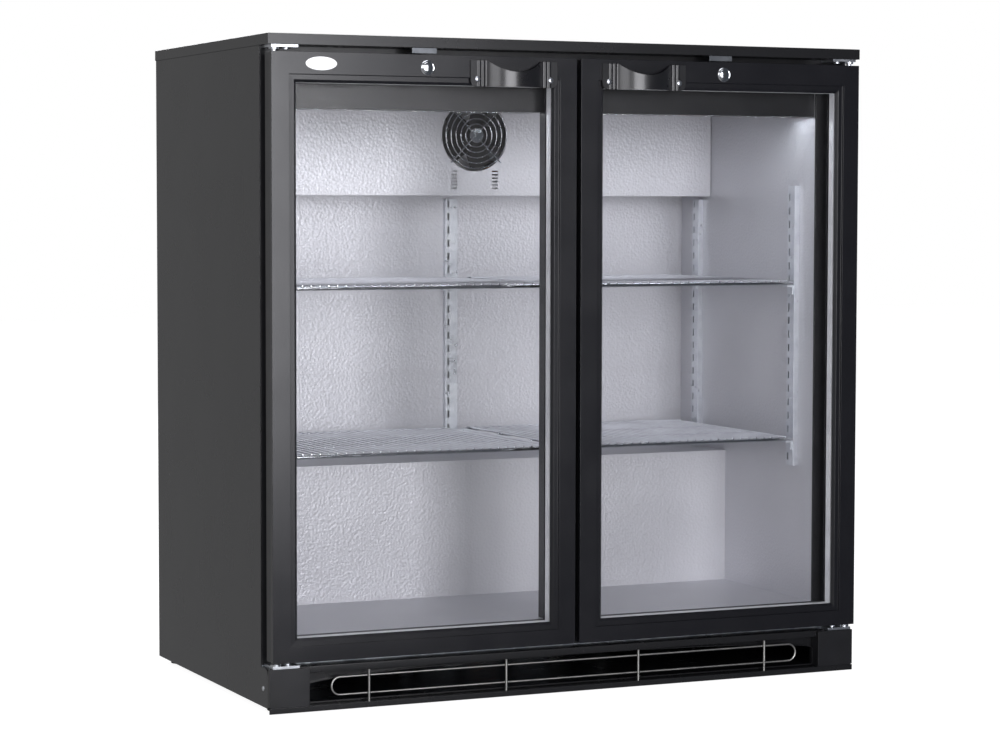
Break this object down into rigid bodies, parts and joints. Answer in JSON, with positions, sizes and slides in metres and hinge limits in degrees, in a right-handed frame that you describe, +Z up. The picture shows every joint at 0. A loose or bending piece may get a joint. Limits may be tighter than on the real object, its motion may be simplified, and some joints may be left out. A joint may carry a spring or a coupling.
{
  "type": "undercounter refrigerator",
  "caption": "Black double-door back-bar bottle cooler: glazed hinged doors with locks and bowed pulls, wire shelves, fan evaporator and a machine bay behind a kick guard.",
  "frame": {"origin": "on the floor, at the centre of the footprint, handles included", "axes": "+Z up, doors face -Y, +X to the right of someone facing the doors"},
  "size_m": [0.9, 0.512, 0.9],
  "materials": {
    "black_painted_steel": "satin",
    "galvanised_steel": "matte",
    "insulation_foam": "matte",
    "stucco_aluminium": "satin",
    "black_plastic": "satin",
    "foot_plastic": "matte",
    "door_frame_black": "satin",
    "glass": "gloss",
    "spacer_aluminium": "satin",
    "gasket_rubber": "matte",
    "chromed_wire": "polished",
    "zinc_steel": "satin",
    "chrome": "polished",
    "light_diffuser": "satin",
    "coil_aluminium": "matte",
    "black_enamel": "satin",
    "copper": "satin",
    "white_plastic": "satin",
    "grey_plastic": "satin"
  },
  "bodies": {
    "cabinet": {"worktop": "black_painted_steel", "left_side_panel": "black_painted_steel", "right_side_panel": "black_painted_steel", "back_panel": "black_painted_steel", "machine_bay_lining": "galvanised_steel", "foam_insulation": "insulation_foam", "inner_liner": "stucco_aluminium", "face_frame": "black_plastic", "centre_mullion": "black_plastic", "base_pan": "black_painted_steel", "feet": "foot_plastic", "base_rail": "black_painted_steel", "corner_blocks": "black_plastic", "kick_panel": "black_painted_steel", "kick_wire_guard": "chromed_wire", "rear_grille": "black_painted_steel", "cable_gland": "black_plastic", "light_housings": "black_plastic", "light_strips": "light_diffuser", "thermostat_box": "white_plastic", "evaporator_cover": "stucco_aluminium", "evaporator_coil": "coil_aluminium", "evaporator_fan_guard": "chromed_wire", "evaporator_fan_motor": "black_enamel", "shelf_standards": "zinc_steel", "shelf_clips": "zinc_steel", "compressor": "black_enamel", "compressor_grommets": "gasket_rubber", "evaporation_tray": "black_plastic", "condenser_coil": "black_enamel", "condenser_fan_frame": "black_painted_steel", "filter_drier": "copper", "refrigerant_pipes": "copper", "hinge_brackets": "zinc_steel", "lock_strikes": "zinc_steel"},
    "left_door": {"left_door_frame": "door_frame_black", "left_door_inner_frame": "black_plastic", "left_door_glass": "glass", "left_door_spacer": "spacer_aluminium", "left_door_gasket": "gasket_rubber", "left_handle": "black_plastic", "left_handle_screws": "zinc_steel", "badge": "white_plastic"},
    "right_door": {"right_door_frame": "door_frame_black", "right_door_inner_frame": "black_plastic", "right_door_glass": "glass", "right_door_spacer": "spacer_aluminium", "right_door_gasket": "gasket_rubber", "right_handle": "black_plastic", "right_handle_screws": "zinc_steel"},
    "left_lock": {"left_lock": "chrome"},
    "right_lock": {"right_lock": "chrome"},
    "evaporator_fan": {"evaporator_fan_blade": "black_plastic"},
    "condenser_fan": {"condenser_fan_blade": "coil_aluminium"},
    "thermostat_knob": {"thermostat_knob": "black_plastic"},
    "light_switch": {"light_switch": "grey_plastic"},
    "upper_left_shelf": {"upper_left_shelf": "chromed_wire"},
    "upper_right_shelf": {"upper_right_shelf": "chromed_wire"},
    "lower_left_shelf": {"lower_left_shelf": "chromed_wire"},
    "lower_right_shelf": {"lower_right_shelf": "chromed_wire"}
  },
  "joints": [
    {"name": "left_door_hinge", "type": "hinge", "parent": "cabinet", "child": "left_door", "pos_m": [-0.438, -0.224, 0.47], "axis": [0, 0, -1], "range_deg": [0, 110], "stiffness_Nm_per_rad": 0.9, "springref_deg": -8.59},
    {"name": "right_door_hinge", "type": "hinge", "parent": "cabinet", "child": "right_door", "pos_m": [0.438, -0.224, 0.47], "axis": [0, 0, 1], "range_deg": [0, 110], "stiffness_Nm_per_rad": 0.9, "springref_deg": -8.59},
    {"name": "left_lock_turn", "type": "hinge", "parent": "left_door", "child": "left_lock", "pos_m": [-0.2255, -0.235, 0.859], "axis": [0, 1, 0], "range_deg": [0, 90]},
    {"name": "right_lock_turn", "type": "hinge", "parent": "right_door", "child": "right_lock", "pos_m": [0.2255, -0.235, 0.859], "axis": [0, -1, 0], "range_deg": [0, 90]},
    {"name": "evaporator_fan_spin", "type": "hinge", "parent": "cabinet", "child": "evaporator_fan", "pos_m": [0, 0.13, 0.779], "axis": [0, -1, 0], "continuous": true},
    {"name": "condenser_fan_spin", "type": "hinge", "parent": "cabinet", "child": "condenser_fan", "pos_m": [-0.1, 0.1768, 0.0932], "axis": [1, 0, 0], "continuous": true},
    {"name": "thermostat_turn", "type": "hinge", "parent": "cabinet", "child": "thermostat_knob", "pos_m": [-0.37, -0.029, 0.7586], "axis": [1, 0, 0], "range_deg": [0, 300]},
    {"name": "light_switch_rock", "type": "hinge", "parent": "cabinet", "child": "light_switch", "pos_m": [-0.38, -0.07, 0.7586], "axis": [0, -1, 0], "range_deg": [0, 12]},
    {"name": "upper_left_shelf_lift", "type": "slide", "parent": "cabinet", "child": "upper_left_shelf", "axis": [0, 0, 1], "range_m": [0, 0.012]},
    {"name": "upper_right_shelf_lift", "type": "slide", "parent": "cabinet", "child": "upper_right_shelf", "axis": [0, 0, 1], "range_m": [0, 0.012]},
    {"name": "lower_left_shelf_lift", "type": "slide", "parent": "cabinet", "child": "lower_left_shelf", "axis": [0, 0, 1], "range_m": [0, 0.012]},
    {"name": "lower_right_shelf_lift", "type": "slide", "parent": "cabinet", "child": "lower_right_shelf", "axis": [0, 0, 1], "range_m": [0, 0.012]}
  ]
}
